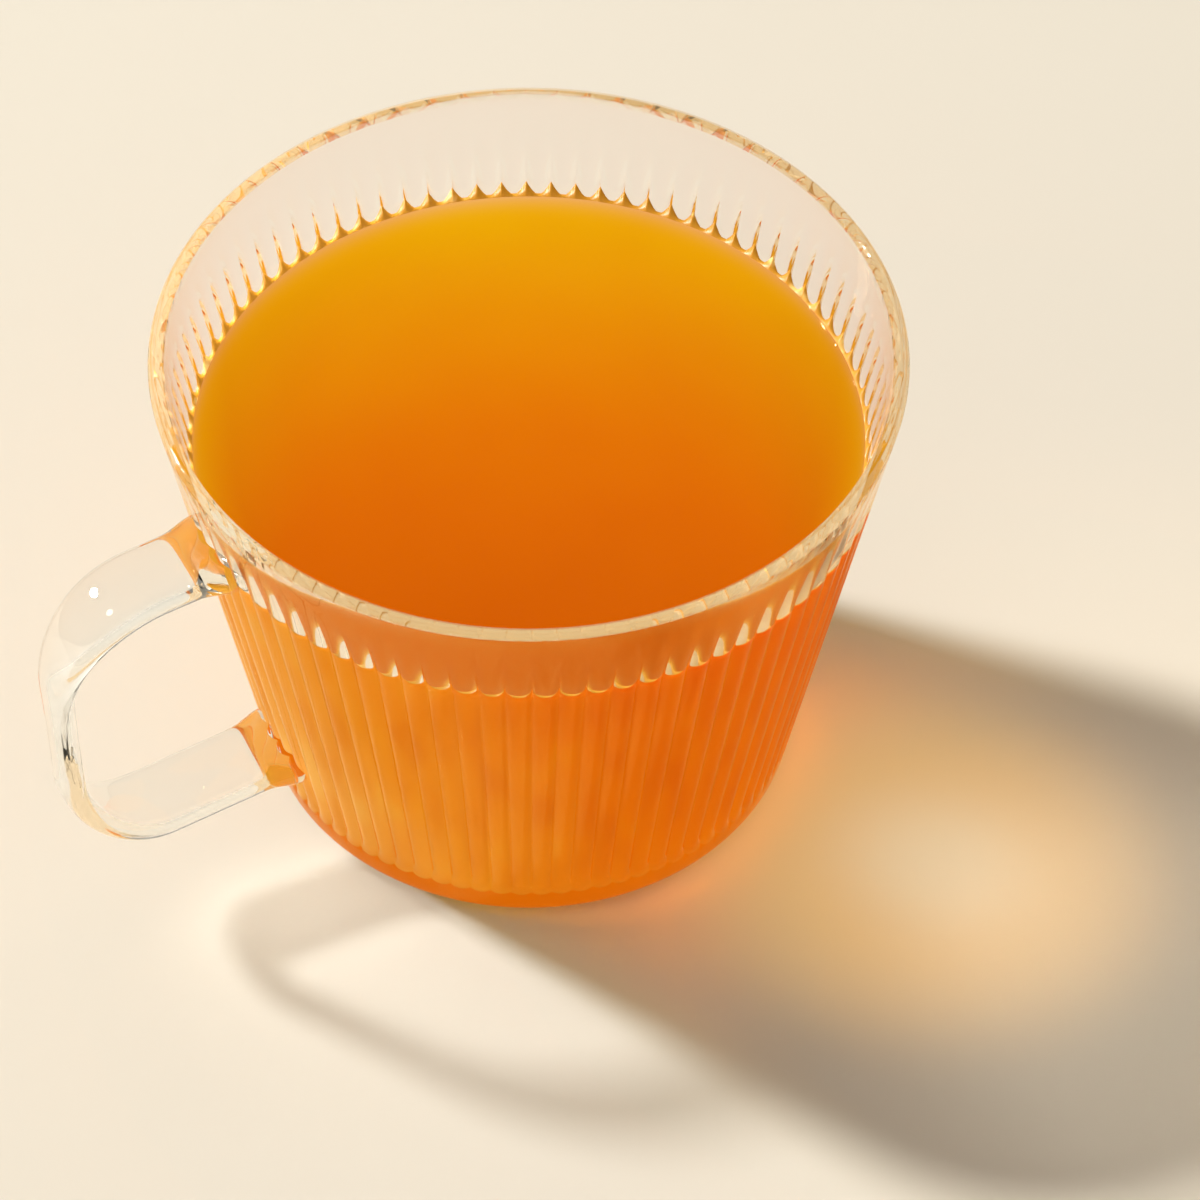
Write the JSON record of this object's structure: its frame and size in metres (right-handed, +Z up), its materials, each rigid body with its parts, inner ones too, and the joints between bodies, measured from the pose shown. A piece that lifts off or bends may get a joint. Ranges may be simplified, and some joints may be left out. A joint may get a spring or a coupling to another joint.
{
  "type": "glass cup of tea",
  "caption": "Clear ribbed glass cup with a flat strap handle, tapering to a rounded base and filled with amber tea to below the rim.",
  "frame": {"origin": "centre of the base, on the surface the cup stands on", "axes": "+Z up along the cup's axis, the handle along -X, so +X points away from the handle"},
  "size_m": [0.1166, 0.0956, 0.0702],
  "materials": {
    "clear_glass": "polished, ribbed outside",
    "amber_tea": "clear amber liquid with a still surface"
  },
  "bodies": {
    "root": {"glass_cup": "clear_glass", "tea": "amber_tea"}
  },
  "joints": []
}
